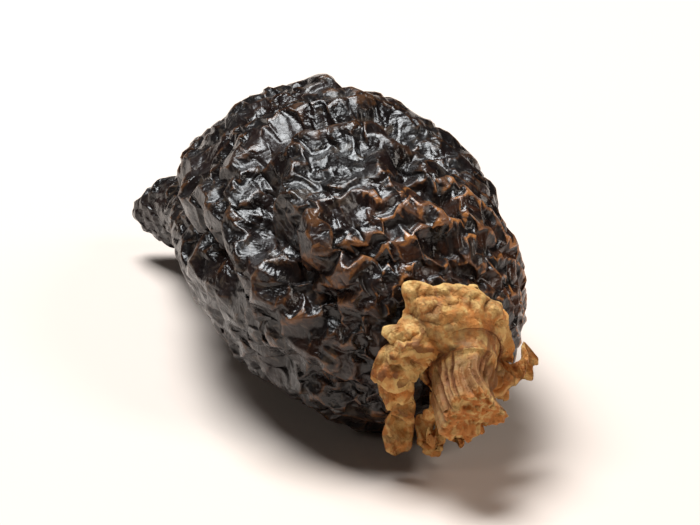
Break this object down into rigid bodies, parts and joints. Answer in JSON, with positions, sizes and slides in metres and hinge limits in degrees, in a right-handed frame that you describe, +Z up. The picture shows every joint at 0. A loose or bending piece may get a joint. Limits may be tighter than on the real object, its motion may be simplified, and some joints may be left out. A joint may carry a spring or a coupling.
{
  "type": "dried smoked chilli pepper",
  "caption": "Whole dried smoked chilli pod lying on its side: dark crumpled skin with deep folds, a tapering bent tip, and a curled tan calyx with a short ribbed stem.",
  "frame": {"origin": "on the surface it lies on, under the middle of the bounding box of the whole pepper", "axes": "+Z up; +Y along the pod from its stem to its tip; +X to the right as seen from the stem"},
  "size_m": [0.0344, 0.0782, 0.0317],
  "materials": {
    "dried_skin": "dark glossy wrinkled dried skin",
    "dried_husk": "matt dry papery"
  },
  "bodies": {
    "root": {"pod": "dried_skin", "calyx_stem": "dried_husk"}
  },
  "joints": []
}
